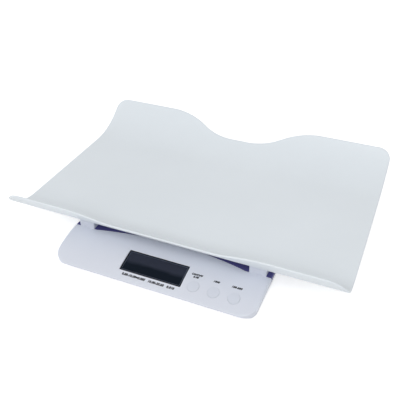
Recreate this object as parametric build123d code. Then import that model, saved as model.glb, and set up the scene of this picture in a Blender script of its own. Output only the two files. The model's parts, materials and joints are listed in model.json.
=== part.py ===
"""Digital baby weighing scale: a lift-off cradle tray on a low weighing base.

Frame: millimetres, +Z up, X to the right of someone reading the display, Y to the back.
The origin is the middle of the footprint, on the surface that the rubber feet stand on.
"""
from build123d import *
import math
import os

# ---------------------------------------------------------------- driving dimensions
# Cradle tray: one curved sheet, open at both ends.
TRAY_WIDTH = 550.0
TRAY_SHEET = 3.0
TRAY_FLOOR_DEPTH = 205.8
LIP_RADIUS = 75.5
LIP_ANGLE = 68.0
LIP_CORNER_RADIUS = 10.0
LIP_DIP_DEPTH = 19.0
LIP_DIP_FLAT = 140.0
LIP_DIP_WIDTH = 330.0
LIP_DIP_VALLEY_RADIUS = 90.0
BACK_RADIUS = 124.3
BACK_ANGLE = 51.4
BACK_CORNER_RADIUS = 22.0
BACK_DIP_DEPTH = 39.0
BACK_DIP_FLAT = 30.0
BACK_DIP_WIDTH = 300.0
BACK_DIP_VALLEY_RADIUS = 115.0
TRAY_SETBACK = 113.5
TRAY_EDGE_BREAK = 0.9

# Runners under the tray, with pegs that drop into the platform.
RUNNER_WIDTH = 26.2
RUNNER_SPACING = 285.8
RUNNER_LENGTH = 252.0
RUNNER_FLOOR_GAP = 3.0
RUNNER_WALL = 2.4
RUNNER_CORE_SHEET = 1.2
RUNNER_EDGE_ROUND = 1.5
PEG_DIAMETER = 10.0
PEG_LENGTH = 4.6
PEG_CLEARANCE = 0.3
PEG_INSET = 20.0
PEG_WEB = 1.5
SOCKET_WALL = 1.7
SOCKET_DEPTH_SPARE = 0.4
TRAY_BOSS_DIAMETER = 7.0
TRAY_BOSS_CLEARANCE = 0.2

# Base housing.
BASE_WIDTH = 330.0
BASE_DEPTH = 339.0
BASE_CORNER_RADIUS = 26.0
BASE_DRAFT = 9.0
FOOT_HEIGHT = 3.0
WALL = 2.5
EDGE_ROUND = 2.4
CROWN_RADIUS = 180.0
PANEL_DEPTH = 73.2
PANEL_PARTING = 8.0
UNDERCUT_RUN = 11.0
BOUNDARY_ARCH = 15.5
BOUNDARY_ARCH_SPAN = 250.0

# Weighing platform.
LID_SHEET = 2.6
LID_SKIRT_DEPTH = 11.0
LID_GAP = 0.8
PLATFORM_TRAVEL = 0.5
TRAVEL_CLEARANCE = 0.2
UPSTAND_WALL = 2.0
UPSTAND_CLEARANCE = 1.0
LEDGE_SHEET = 2.0
LID_RIB_HEIGHT = 3.5
LID_RIB_WALL = 1.6
LID_RIB_MARGIN = 10.0
LID_BOSS_DIAMETER = 9.0
LID_BOSS_HEIGHT = 1.0
WIRE_NOTCH = (12.0, 4.5)
FLOOR_RIB_WALL = 1.6
FLOOR_RIB_HEIGHT = 4.0
FLOOR_RIB_X = 110.0
FLOOR_RIB_PITCH = 60.0

# Load cell and its mounting.
CELL_LENGTH = 80.0
CELL_SIDE = 12.7
CELL_HOLE_DIAMETER = 9.4
CELL_HOLE_PITCH = 13.0
CELL_BOLT_PITCH = 15.0
CELL_BOLT_INSET = 5.0
CELL_BOLT_DIAMETER = 4.0
CELL_BOLT_CLEARANCE = 0.2
CELL_BOLT_HEAD_DIAMETER = 7.4
CELL_BOLT_HEAD_HEIGHT = 1.8
CELL_BOLT_LENGTH = 9.0
CELL_PAD = 1.0
SPACER_SHEET = 1.0
SPACER_LENGTH = 26.0
GAUGE_COVER = (18.0, 9.0, 0.7)
GAUGE_WINDOW_MARGIN = 2.0
SPIDER_SHEET = 1.2
SPIDER_WIDTH = 196.0
SPIDER_DEPTH = 156.0
SPIDER_ARM = 26.0
SPIDER_CORNER = 10.0
LID_SCREW_INSET = 13.0
LID_SCREW_LENGTH = 3.2
STOP_SPACING = 50.0
STOP_DIAMETER = 9.0

# Display and keys.
DISPLAY_WIDTH = 99.5
DISPLAY_DEPTH = 38.1
DISPLAY_SETBACK = 21.0
DISPLAY_CORNER = 1.5
WINDOW_SHEET = 1.4
WINDOW_RECESS = 0.6
WINDOW_LEDGE = 3.2
WINDOW_CLEARANCE = 0.2
FRAME_SHEET = 1.4
FRAME_BORDER = 4.0
LCD_SHEET = 2.0
LCD_MARGIN = 2.0
STRIP_WIDTH = 2.6
STRIP_INSET = 2.5
BOARD_SHEET = 1.6
BOARD_MARGIN = 1.15
BOARD_HOLE_INSET = 4.0
BOARD_BOSS_DIAMETER = 6.0
BOARD_BOSS_GAP = 1.0
BOARD_SCREW = (2.2, 6.0, 4.4, 1.2)
CHIP_SIDE = 10.0
CHIP_HEIGHT = 1.2
KEY_DIAMETER = 17.5
KEY_NAMES = ("tare", "unit", "hold")
KEY_PITCH = 30.95
KEY_INSET = 38.9
KEY_TO_DISPLAY = 17.45
KEY_LEAD = 12.0
KEY_PROUD = 0.25
KEY_CLEARANCE = 0.2
KEY_FLANGE = 1.6
KEY_FLANGE_SHEET = 0.9
KEY_FLANGE_GAP = 0.65
KEY_STEM_DIAMETER = 5.0
KEY_STEM_LENGTH = 0.25
KEY_TRAVEL = 0.6
SWITCH_SIDE = 6.0
SWITCH_HEIGHT = 1.6
SWITCH_FLOOR = 0.4
PLUNGER_DIAMETER = 3.4
PLUNGER_CLEARANCE = 0.05

# Batteries and their bay.
BATTERY_DIAMETER = 10.5
BATTERY_LENGTH = 44.5
BATTERY_NUB_DIAMETER = 3.8
BATTERY_NUB_HEIGHT = 1.2
BATTERY_COUNT = 4
BATTERY_PITCH = 11.2
BATTERY_CLEARANCE = 0.3
CONTACT_SHEET = 0.5
CONTACT_WIDTH = 8.0
CONTACT_SPRING = 3.0
BAY_SETBACK = 38.9
BAY_SIDE_MARGIN = 7.6
BAY_WALL = 1.5
DOOR_SHEET = 2.0
DOOR_CLEARANCE = 0.3
DOOR_LATCH_SPACE = 6.0
DOOR_LATCH_SHEET = 1.5
DOOR_LATCH_WIDTH = 16.0
DOOR_LATCH_HEIGHT = 3.6
DOOR_GRIP_DIAMETER = 11.0
HOOK_WIDTH = 5.0
HOOK_REACH = 2.6
HOOK_SHEET = 1.2
HOOK_FLOOR_GAP = 0.2

# Leads inside the base, and their sockets under the board.
LEAD_DIAMETER = 1.8
LEAD_FLOOR_GAP = 0.2
LEAD_ARC_SHARE = 0.45
LEAD_TAIL = 11.0
LEAD_SOCKET = (9.0, 5.0, 4.0)
LEAD_SOCKET_INSETS = (15.55, 95.55)
LEAD_SOCKET_V = 15.0

# Fasteners and feet.
SCREW_DIAMETER = 3.0
SCREW_CLEARANCE = 0.2
SCREW_HEAD_DIAMETER = 5.8
SCREW_HEAD_HEIGHT = 2.0
TRAY_SCREW_LENGTH = 6.4
PANEL_SCREW_LENGTH = 9.0
SCREW_BOSS_DIAMETER = 8.0
PANEL_SCREW_INSET_X = 15.0
PANEL_SCREW_SETBACKS = (12.0, 49.0)
FOOT_DIAMETER = 20.0
FOOT_RECESS = 1.4
FOOT_EDGE_BREAK = 0.7
FOOT_CLEARANCE = 0.2
FOOT_INSET_X = 29.0
FOOT_INSET_FRONT = 30.0
FOOT_INSET_REAR = 27.0

# ---------------------------------------------------------------- derived places
# Along the depth.
BACK_REACH = (BACK_RADIUS + TRAY_SHEET) * math.sin(math.radians(BACK_ANGLE))
OVERALL_DEPTH = TRAY_SETBACK + TRAY_FLOOR_DEPTH + BACK_REACH
FRONT_Y = -OVERALL_DEPTH / 2
REAR_Y = FRONT_Y + BASE_DEPTH
BOUNDARY_Y = FRONT_Y + PANEL_DEPTH
FLOOR_FRONT_Y = FRONT_Y + TRAY_SETBACK
FLOOR_REAR_Y = FLOOR_FRONT_Y + TRAY_FLOOR_DEPTH
CELL_Y = (BOUNDARY_Y + REAR_Y) / 2

# Up the stack: floor, load cell, spider, lid, tray.
FLOOR_TOP = FOOT_HEIGHT + WALL
CELL_BOTTOM = FLOOR_TOP + CELL_PAD + SPACER_SHEET
CELL_TOP = CELL_BOTTOM + CELL_SIDE
SPIDER_BOTTOM = CELL_TOP + SPACER_SHEET
SPIDER_TOP = SPIDER_BOTTOM + SPIDER_SHEET
LID_UNDER = SPIDER_TOP + LID_BOSS_HEIGHT
PLATFORM_TOP = LID_UNDER + LID_SHEET
LID_SKIRT_BOTTOM = PLATFORM_TOP - LID_SKIRT_DEPTH
LID_RIB_BOTTOM = LID_UNDER - LID_RIB_HEIGHT
TRAY_UNDER_Z = PLATFORM_TOP + RUNNER_FLOOR_GAP
TRAY_FLOOR_Z = TRAY_UNDER_Z + TRAY_SHEET
SINK = PLATFORM_TRAVEL + TRAVEL_CLEARANCE
LEDGE_TOP = LID_SKIRT_BOTTOM - SINK
UPSTAND_TOP = LID_RIB_BOTTOM - SINK
UPSTAND_INSET = LID_SHEET + UPSTAND_CLEARANCE
DRAFT_RUN = math.tan(math.radians(BASE_DRAFT))
CROWN_CENTRE_Z = PLATFORM_TOP - CROWN_RADIUS
FAR = 600.0

# Pegs, sockets and the spider's corners.
PEG_BOTTOM = PLATFORM_TOP - PEG_LENGTH
PEG_WEB_BOTTOM = PEG_BOTTOM + SCREW_HEAD_HEIGHT + SCREW_CLEARANCE
PEG_WEB_TOP = PEG_WEB_BOTTOM + PEG_WEB
PEG_YS = (BOUNDARY_Y + PEG_INSET, BOUNDARY_Y + RUNNER_LENGTH - PEG_INSET)
PEG_PLACES = [(side * RUNNER_SPACING / 2, y) for side in (-1, 1) for y in PEG_YS]
SPIDER_CORNERS = [(sx * (SPIDER_WIDTH / 2 - LID_SCREW_INSET),
                   CELL_Y + sy * (SPIDER_DEPTH / 2 - LID_SCREW_INSET)) for sx in (-1, 1) for sy in (-1, 1)]
STOPS = [(sx * (SPIDER_WIDTH - SPIDER_ARM) / 2, CELL_Y + sy * STOP_SPACING / 2)
         for sx in (-1, 1) for sy in (-1, 1)]

# Bolts, screws and feet.
CELL_BOLT_XS = [CELL_LENGTH / 2 - CELL_BOLT_INSET - CELL_BOLT_PITCH * i for i in range(2)]
CELL_BOLT_SEAT = FOOT_HEIGHT + CELL_BOLT_HEAD_HEIGHT + SCREW_CLEARANCE
BOLT_CONE_HEIGHT = (CELL_BOLT_HEAD_DIAMETER - CELL_BOLT_DIAMETER) / 2
PANEL_SCREW_SEAT = FOOT_HEIGHT + SCREW_HEAD_HEIGHT + SCREW_CLEARANCE
PANEL_SCREWS = [(side * (BASE_WIDTH / 2 - PANEL_SCREW_INSET_X), BOUNDARY_Y - setback)
                for side in (-1, 1) for setback in PANEL_SCREW_SETBACKS]
FEET = [(sx * (BASE_WIDTH / 2 - FOOT_INSET_X), y) for sx in (-1, 1)
        for y in (FRONT_Y + FOOT_INSET_FRONT, REAR_Y - FOOT_INSET_REAR)]

# Battery bay.
BAY_HALF = (BATTERY_PITCH * (BATTERY_COUNT - 1) + BATTERY_DIAMETER) / 2 + BAY_SIDE_MARGIN
BAY_FRONT = CELL_Y + CELL_SIDE / 2 + BAY_SETBACK
BAY_REAR = BAY_FRONT + BATTERY_LENGTH + CONTACT_SPRING + 2 * CONTACT_SHEET
DOOR_TOP = FOOT_HEIGHT + DOOR_SHEET
DOOR_FRONT = BAY_FRONT + HOOK_REACH + DOOR_CLEARANCE
DOOR_REAR = BAY_REAR + BAY_WALL + DOOR_LATCH_SPACE
BATTERY_Z = FLOOR_TOP + BATTERY_CLEARANCE + BATTERY_DIAMETER / 2
BAY_ROOF = BATTERY_Z + BATTERY_DIAMETER / 2 + BATTERY_CLEARANCE
BATTERY_XS = [BATTERY_PITCH * (i - (BATTERY_COUNT - 1) / 2) for i in range(BATTERY_COUNT)]

# The leads lie on the floor.
LEAD_Z = FLOOR_TOP + LEAD_FLOOR_GAP + LEAD_DIAMETER / 2


def crown_z(y):
    """Height of the panel's crowned top at a distance y."""
    return CROWN_CENTRE_Z + math.sqrt(CROWN_RADIUS ** 2 - (min(y, BOUNDARY_Y) - BOUNDARY_Y) ** 2)


# The display lies on the chord of the crown between its back and front edges. Places
# on it are given across (u), up the slope (v) and square to it (w).
DISPLAY_BACK_Y = BOUNDARY_Y - DISPLAY_SETBACK
TILT = math.asin(DISPLAY_SETBACK / CROWN_RADIUS) + math.asin(DISPLAY_DEPTH / 2 / CROWN_RADIUS)
DISPLAY_MID_Y = DISPLAY_BACK_Y - DISPLAY_DEPTH / 2 * math.cos(TILT)
DISPLAY_MID_Z = crown_z(DISPLAY_BACK_Y) - DISPLAY_DEPTH / 2 * math.sin(TILT)
PANEL_PLANE = Plane(origin=(0, DISPLAY_MID_Y, DISPLAY_MID_Z), x_dir=(1, 0, 0),
                    z_dir=(0, -math.sin(TILT), math.cos(TILT)))
LAST_KEY_X = BASE_WIDTH / 2 - KEY_INSET
KEY_XS = [LAST_KEY_X - KEY_PITCH * (len(KEY_NAMES) - 1 - i) for i in range(len(KEY_NAMES))]
DISPLAY_X = KEY_XS[0] - KEY_TO_DISPLAY - DISPLAY_WIDTH / 2
WINDOW_INNER = (DISPLAY_WIDTH - 2 * WINDOW_LEDGE, DISPLAY_DEPTH - 2 * WINDOW_LEDGE)
LCD_SIZE = (WINDOW_INNER[0] + 2 * LCD_MARGIN, WINDOW_INNER[1] + 2 * LCD_MARGIN)

# Depths under the display's plane.
WINDOW_BOTTOM_W = -WINDOW_RECESS - WINDOW_SHEET
LCD_TOP_W = WINDOW_BOTTOM_W - FRAME_SHEET
LCD_BOTTOM_W = LCD_TOP_W - LCD_SHEET
KEY_FLANGE_TOP_W = -WALL - KEY_FLANGE_GAP
KEY_BOTTOM_W = KEY_FLANGE_TOP_W - KEY_FLANGE_SHEET
PLUNGER_TOP_W = KEY_BOTTOM_W - KEY_STEM_LENGTH
SWITCH_TOP_W = PLUNGER_TOP_W - KEY_TRAVEL - TRAVEL_CLEARANCE
BOARD_TOP_W = SWITCH_TOP_W - SWITCH_HEIGHT
BOARD_BOTTOM_W = BOARD_TOP_W - BOARD_SHEET
PLUNGER_BOTTOM_W = BOARD_TOP_W + SWITCH_FLOOR + KEY_TRAVEL + TRAVEL_CLEARANCE / 2

# The board reaches from a screw left of the display to one right of the last key.
BOARD_SCREW_XS = (DISPLAY_X - LCD_SIZE[0] / 2 - BOARD_BOSS_GAP - BOARD_BOSS_DIAMETER / 2,
                  LAST_KEY_X + KEY_DIAMETER / 2 + KEY_FLANGE + BOARD_BOSS_GAP / 2 + BOARD_BOSS_DIAMETER / 2)
BOARD_X = sum(BOARD_SCREW_XS) / 2
BOARD_SIZE = (BOARD_SCREW_XS[1] - BOARD_SCREW_XS[0] + 2 * BOARD_HOLE_INSET, LCD_SIZE[1] + 2 * BOARD_MARGIN)
BOARD_HOLES = [(x, sv * (BOARD_SIZE[1] / 2 - BOARD_HOLE_INSET)) for x in BOARD_SCREW_XS for sv in (-1, 1)]

# The leads pass the bulkhead in line with their sockets, which keep their places on the board.
LEAD_XS = [BOARD_SCREW_XS[0] + inset for inset in LEAD_SOCKET_INSETS]


# ---------------------------------------------------------------- helpers
def cylinder(diameter, low, high, x=0.0, y=0.0):
    """Upright cylinder between two heights."""
    return Pos(x, y, low) * Cylinder(diameter / 2, high - low, align=(Align.CENTER, Align.CENTER, Align.MIN))


def block(x0, x1, y0, y1, z0, z1):
    """Box between two corners."""
    return Pos(x0, y0, z0) * Box(x1 - x0, y1 - y0, z1 - z0, align=Align.MIN)


def on_panel(u, v, low, high, section):
    """Prism of a section that stands on the display's plane, between two depths."""
    return extrude(PANEL_PLANE * Pos(u, v, low) * section, high - low, dir=tuple(PANEL_PLANE.z_dir))


def side_prism(outline, half_width):
    """Prism along X of a closed outline drawn in Y and Z."""
    return extrude(make_face(Plane.YZ * outline), half_width, both=True)


def slab(low, high):
    """Everything between two heights."""
    return block(-FAR, FAR, -FAR, FAR, low, high)


def pan_screw(diameter, length, head_diameter, head_height):
    """Pan-head screw along +Z, with the underside of its head at the origin."""
    shank = cylinder(diameter, -head_height / 2, length)
    return cylinder(head_diameter, -head_height, 0) + shank


def arc(centre, radius, start, stop):
    """Arc between two angles, given in degrees."""
    def at(angle):
        turn = math.radians(angle)
        return (centre[0] + radius * math.cos(turn), centre[1] + radius * math.sin(turn))
    return ThreePointArc(at(start), at((start + stop) / 2), at(stop))


# ---------------------------------------------------------------- housing form
def below_top(inset):
    """Everything under the flat platform and the crowned panel, less inset."""
    top = PLATFORM_TOP - inset
    radius = CROWN_RADIUS - inset
    ahead = FRONT_Y - BASE_CORNER_RADIUS / 4

    def crown(y):
        return CROWN_CENTRE_Z + math.sqrt(radius ** 2 - (y - BOUNDARY_Y) ** 2)
    middle = (ahead + BOUNDARY_Y) / 2
    return side_prism(Line((FAR, top), (BOUNDARY_Y, top))
                      + ThreePointArc((BOUNDARY_Y, top), (middle, crown(middle)), (ahead, crown(ahead)))
                      + Polyline((ahead, crown(ahead)), (ahead, -FAR), (FAR, -FAR), (FAR, top)), FAR)


def above_underside(inset):
    """Everything over the flat underside and the tucked front, less inset."""
    rise = PANEL_PARTING - FOOT_HEIGHT
    slope = rise / UNDERCUT_RUN
    low = FOOT_HEIGHT + inset
    start = FRONT_Y + UNDERCUT_RUN + inset * (math.hypot(rise, UNDERCUT_RUN) - UNDERCUT_RUN) / rise
    return side_prism(Polyline((FAR, low), (start, low), (start - FAR, low + slope * FAR),
                               (FAR, low + slope * FAR), (FAR, low)), FAR)


def housing_form(inset):
    """The base as one block: tapered plan cut by its side profile, shrunk by inset."""
    front = FRONT_Y - (PLATFORM_TOP - crown_z(FRONT_Y)) * DRAFT_RUN + inset
    rear = REAR_Y - inset
    plan = Pos(0, (front + rear) / 2, PLATFORM_TOP + EDGE_ROUND) * RectangleRounded(
        BASE_WIDTH - 2 * inset, rear - front, BASE_CORNER_RADIUS - inset)
    tapered = extrude(plan, PLATFORM_TOP + EDGE_ROUND - FOOT_HEIGHT, dir=(0, 0, -1), taper=BASE_DRAFT)
    return tapered & below_top(inset) & above_underside(inset)


def rounded_form():
    """The housing form with its upper edge rounded all the way round."""
    form = housing_form(0)
    upper = [face for face in form.faces() if face.normal_at().Z > math.cos(math.radians(45))]
    rim = [edge for face in upper for edge in face.edges()
           if abs(edge.center().Y - BOUNDARY_Y) > EDGE_ROUND]
    return fillet(rim, EDGE_ROUND)


def panel_zone(shift):
    """Everything in front of the arched line between the panel and the platform."""
    half = BOUNDARY_ARCH_SPAN / 2
    edge = BOUNDARY_Y + shift
    outline = (Line((-FAR, edge), (-half, edge))
               + ThreePointArc((-half, edge), (0, edge + BOUNDARY_ARCH), (half, edge))
               + Polyline((half, edge), (FAR, edge), (FAR, -FAR), (-FAR, -FAR), (-FAR, edge)))
    return extrude(make_face(outline), FAR, both=True)


def wall_at(form, shift, sheet):
    """Upright wall that follows the arched line, from shift backwards."""
    return (form & panel_zone(shift + sheet)) - panel_zone(shift)


# ---------------------------------------------------------------- cradle tray
def lip_point(angle, radius):
    """Point of the front lip's section, the angle counted from the floor."""
    turn = math.radians(angle)
    return (FLOOR_FRONT_Y - radius * math.sin(turn), TRAY_FLOOR_Z + LIP_RADIUS - radius * math.cos(turn))


def back_point(angle, radius):
    """Point of the back wall's section, the angle counted from the floor."""
    turn = math.radians(angle)
    return (FLOOR_REAR_Y + radius * math.sin(turn), TRAY_FLOOR_Z + BACK_RADIUS - radius * math.cos(turn))


def tray_line(offset, lip_angle=LIP_ANGLE, back_angle=BACK_ANGLE):
    """Section line of the sheet, offset downwards from its upper surface."""
    lip = LIP_RADIUS + offset
    back = BACK_RADIUS + offset
    return (ThreePointArc(lip_point(lip_angle, lip), lip_point(lip_angle / 2, lip), lip_point(0, lip))
            + Line(lip_point(0, lip), back_point(0, back))
            + ThreePointArc(back_point(0, back), back_point(back_angle / 2, back),
                            back_point(back_angle, back)))


def trimmed_edge(corner, dip_width, dip_flat, dip_depth, valley_radius):
    """Outline of one end of the flattened sheet: rounded corners and a smooth dip."""
    half = TRAY_WIDTH / 2
    run = (dip_width - dip_flat) / 2
    flank_radius = (run ** 2 + dip_depth ** 2) / (2 * dip_depth) - valley_radius
    turn = math.degrees(math.asin(run / (valley_radius + flank_radius)))
    valley_y = valley_radius - dip_depth
    return (Line((-half, -FAR), (-half, -corner))
            + arc((corner - half, -corner), corner, 180, 90)
            + Line((corner - half, 0), (-dip_width / 2, 0))
            + arc((-dip_width / 2, -flank_radius), flank_radius, 90, 90 - turn)
            + arc((-dip_flat / 2, valley_y), valley_radius, 270 - turn, 270)
            + Line((-dip_flat / 2, -dip_depth), (dip_flat / 2, -dip_depth))
            + arc((dip_flat / 2, valley_y), valley_radius, 270, 270 + turn)
            + arc((dip_width / 2, -flank_radius), flank_radius, 90 + turn, 90)
            + Line((dip_width / 2, 0), (half - corner, 0))
            + arc((half - corner, -corner), corner, 90, 0)
            + Polyline((half, -corner), (half, -FAR), (-half, -FAR)))


def trim_prism(end_point, angle, towards, outline):
    """Prism square to the sheet near one end, that keeps what lies inside its outline."""
    turn = math.radians(angle)
    normal = (0, -towards * math.sin(turn), math.cos(turn))
    across = (towards, 0, 0)
    plane = Plane(origin=(0, end_point[0], end_point[1]), x_dir=across, z_dir=normal)
    return extrude(plane * make_face(outline), FAR, both=True)


def curved_sheet():
    """The bent sheet, trimmed to its outline at the back wall and at the lip."""
    ends = Line(back_point(BACK_ANGLE, BACK_RADIUS), back_point(BACK_ANGLE, BACK_RADIUS + TRAY_SHEET))
    starts = Line(lip_point(LIP_ANGLE, LIP_RADIUS + TRAY_SHEET), lip_point(LIP_ANGLE, LIP_RADIUS))
    sheet = side_prism(tray_line(0) + ends + tray_line(TRAY_SHEET) + starts, TRAY_WIDTH / 2)
    back_lean = BACK_ANGLE - math.degrees(BACK_DIP_DEPTH / 2 / BACK_RADIUS)
    lip_lean = LIP_ANGLE - math.degrees(LIP_DIP_DEPTH / 2 / LIP_RADIUS)
    back = trimmed_edge(BACK_CORNER_RADIUS, BACK_DIP_WIDTH, BACK_DIP_FLAT, BACK_DIP_DEPTH,
                        BACK_DIP_VALLEY_RADIUS)
    lip = trimmed_edge(LIP_CORNER_RADIUS, LIP_DIP_WIDTH, LIP_DIP_FLAT, LIP_DIP_DEPTH, LIP_DIP_VALLEY_RADIUS)
    sheet &= trim_prism(back_point(BACK_ANGLE, BACK_RADIUS), back_lean, 1, back)
    sheet &= trim_prism(lip_point(LIP_ANGLE, LIP_RADIUS), lip_lean, -1, lip)
    return sheet


# ---------------------------------------------------------------- runners under the tray
def under_tray(offset):
    """Everything below a line that runs offset below the tray's upper surface."""
    rear = back_point(BACK_ANGLE, BACK_RADIUS + offset)
    front = lip_point(LIP_ANGLE, LIP_RADIUS + offset)
    floor = Polyline(rear, (rear[0], -FAR), (front[0], -FAR), front)
    return side_prism(tray_line(offset) + floor, FAR)


def tray_shell():
    """The cradle sheet with its broken rim edges, and the four screw bosses under it."""
    sheet = curved_sheet()
    rim = [edge for edge in sheet.edges() if edge.length > TRAY_SHEET * 1.1
           and abs(edge.center().Y - FLOOR_FRONT_Y) > TRAY_SHEET
           and abs(edge.center().Y - FLOOR_REAR_Y) > TRAY_SHEET]
    sheet = chamfer(rim, TRAY_EDGE_BREAK)
    solid_below = under_tray(TRAY_SHEET / 2)
    for x, y in PEG_PLACES:
        sheet += cylinder(TRAY_BOSS_DIAMETER, PEG_WEB_TOP, TRAY_FLOOR_Z + LIP_RADIUS / 4, x, y) & solid_below
        sheet -= cylinder(SCREW_DIAMETER, PEG_WEB_TOP, PEG_WEB_BOTTOM + TRAY_SCREW_LENGTH, x, y)
    return sheet


def tray_runner(side):
    """Moulded foot that carries one half of the tray, cored out between its pegs."""
    x = side * RUNNER_SPACING / 2
    front = BOUNDARY_Y
    rear = BOUNDARY_Y + RUNNER_LENGTH
    half = RUNNER_WIDTH / 2
    runner = block(x - half, x + half, front, rear, PLATFORM_TOP, TRAY_FLOOR_Z + LIP_RADIUS / 2)
    runner = fillet(runner.edges().filter_by(Axis.Z), RUNNER_EDGE_ROUND)
    runner &= under_tray(TRAY_SHEET)
    core_half = half - RUNNER_WALL
    core = block(x - core_half, x + core_half, PEG_YS[0] + PEG_DIAMETER, PEG_YS[1] - PEG_DIAMETER,
                 PLATFORM_TOP, TRAY_UNDER_Z - RUNNER_CORE_SHEET)
    runner -= core
    for y in PEG_YS:
        runner += cylinder(PEG_DIAMETER, PEG_BOTTOM, PLATFORM_TOP, x, y)
        runner -= cylinder(SCREW_HEAD_DIAMETER + 2 * SCREW_CLEARANCE, PEG_BOTTOM, PEG_WEB_BOTTOM, x, y)
        runner -= cylinder(SCREW_DIAMETER + SCREW_CLEARANCE, PEG_WEB_BOTTOM, PEG_WEB_TOP, x, y)
        runner -= cylinder(TRAY_BOSS_DIAMETER + 2 * TRAY_BOSS_CLEARANCE, PEG_WEB_TOP, FAR, x, y)
    return runner


def tray_screws():
    """The four screws that hold the runners, one inside each peg."""
    screw = pan_screw(SCREW_DIAMETER, TRAY_SCREW_LENGTH, SCREW_HEAD_DIAMETER, SCREW_HEAD_HEIGHT)
    return [Pos(x, y, PEG_WEB_BOTTOM) * screw for x, y in PEG_PLACES]


# ---------------------------------------------------------------- weighing platform
def platform_lid():
    """Moulded lid with a skirt, ribs, peg sockets and bosses for the spider."""
    inside = housing_form(LID_SHEET)
    lid = (rounded_form() - inside) & slab(LID_SKIRT_BOTTOM, FAR)
    lid -= panel_zone(LID_GAP)
    lid += wall_at(inside, LID_GAP, LID_SHEET) & slab(LID_SKIRT_BOTTOM, FAR)
    cavity = inside - panel_zone(LID_GAP + LID_SHEET)
    half = LID_RIB_WALL / 2
    beside_spider = SPIDER_WIDTH / 2 + LID_RIB_MARGIN
    for x in (-RUNNER_SPACING / 2, -beside_spider, beside_spider, RUNNER_SPACING / 2):
        lid += block(x - half, x + half, -FAR, FAR, LID_RIB_BOTTOM, LID_UNDER) & cavity
    for y in PEG_YS:
        lid += block(-FAR, FAR, y - half, y + half, LID_RIB_BOTTOM, LID_UNDER) & cavity
    for x, y in SPIDER_CORNERS:
        lid += cylinder(LID_BOSS_DIAMETER, SPIDER_TOP, LID_UNDER, x, y)
        lid -= cylinder(SCREW_DIAMETER, SPIDER_TOP, SPIDER_BOTTOM + LID_SCREW_LENGTH, x, y)
    socket = PEG_DIAMETER + 2 * PEG_CLEARANCE
    socket_bottom = PEG_BOTTOM - SOCKET_DEPTH_SPARE
    for x, y in PEG_PLACES:
        lid += cylinder(socket + 2 * SOCKET_WALL, socket_bottom - SOCKET_WALL, LID_UNDER, x, y)
        lid -= cylinder(socket, socket_bottom, PLATFORM_TOP, x, y)
    return lid


def platform_spider():
    """Pressed steel plate between the load cell's free end and the lid."""
    plate = Pos(0, CELL_Y, SPIDER_BOTTOM) * extrude(
        RectangleRounded(SPIDER_WIDTH, SPIDER_DEPTH, SPIDER_CORNER), SPIDER_SHEET)
    window = (SPIDER_DEPTH - 3 * SPIDER_ARM) / 2
    for sy in (-1, 1):
        hole = Pos(0, CELL_Y + sy * (SPIDER_ARM + window) / 2, SPIDER_BOTTOM) * extrude(
            RectangleRounded(SPIDER_WIDTH - 2 * SPIDER_ARM, window, SPIDER_CORNER / 2), SPIDER_SHEET)
        plate -= hole
    gauge_window = Pos(0, CELL_Y, SPIDER_BOTTOM) * extrude(Rectangle(
        GAUGE_COVER[0] + 2 * GAUGE_WINDOW_MARGIN, GAUGE_COVER[1] + 2 * GAUGE_WINDOW_MARGIN), SPIDER_SHEET)
    plate -= gauge_window
    for x, y in SPIDER_CORNERS:
        plate -= cylinder(SCREW_DIAMETER + SCREW_CLEARANCE, SPIDER_BOTTOM, SPIDER_TOP, x, y)
    for x in CELL_BOLT_XS:
        plate -= countersunk_bolt(x, CELL_BOLT_CLEARANCE)
    return plate


def lid_screws():
    """The four screws from the spider up into the lid."""
    screw = pan_screw(SCREW_DIAMETER, LID_SCREW_LENGTH, SCREW_HEAD_DIAMETER, SCREW_HEAD_HEIGHT)
    return [Pos(x, y, SPIDER_BOTTOM) * screw for x, y in SPIDER_CORNERS]


# ---------------------------------------------------------------- load cell
def countersunk_bolt(x, clearance=0.0):
    """Countersunk bolt, flush with the spider's upper face, down into the free end."""
    cone = Pos(x, CELL_Y, SPIDER_TOP - BOLT_CONE_HEIGHT / 2) * Cone(
        CELL_BOLT_DIAMETER / 2 + clearance / 2, CELL_BOLT_HEAD_DIAMETER / 2 + clearance / 2, BOLT_CONE_HEIGHT)
    return cone + cylinder(CELL_BOLT_DIAMETER + clearance, SPIDER_TOP - CELL_BOLT_LENGTH, SPIDER_TOP
                           - BOLT_CONE_HEIGHT / 2, x, CELL_Y)


def load_cell():
    """Single-point aluminium beam with its binocular cut-out and tapped ends."""
    half = CELL_LENGTH / 2
    beam = block(-half, half, CELL_Y - CELL_SIDE / 2, CELL_Y + CELL_SIDE / 2, CELL_BOTTOM, CELL_TOP)
    slot = Pos(0, CELL_Y, (CELL_BOTTOM + CELL_TOP) / 2) * (Rot(90, 0, 0) * extrude(
        SlotCenterToCenter(CELL_HOLE_PITCH, CELL_HOLE_DIAMETER), CELL_SIDE, both=True))
    beam -= slot
    for x in CELL_BOLT_XS:
        beam -= cylinder(CELL_BOLT_DIAMETER, SPIDER_TOP - CELL_BOLT_LENGTH, CELL_TOP, x, CELL_Y)
        beam -= cylinder(CELL_BOLT_DIAMETER, CELL_BOTTOM, CELL_BOLT_SEAT + CELL_BOLT_LENGTH, -x, CELL_Y)
    return beam


def cell_spacer(side, low):
    """Steel spacer under or over one end of the load cell."""
    outer = side * CELL_LENGTH / 2
    inner = outer - side * SPACER_LENGTH
    plate = block(min(outer, inner), max(outer, inner), CELL_Y - CELL_SIDE / 2, CELL_Y + CELL_SIDE / 2,
                  low, low + SPACER_SHEET)
    for x in CELL_BOLT_XS:
        if side < 0:
            plate -= cylinder(CELL_BOLT_DIAMETER + CELL_BOLT_CLEARANCE, low, low + SPACER_SHEET, -x, CELL_Y)
        else:
            plate -= countersunk_bolt(x, CELL_BOLT_CLEARANCE)
    return plate


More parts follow.
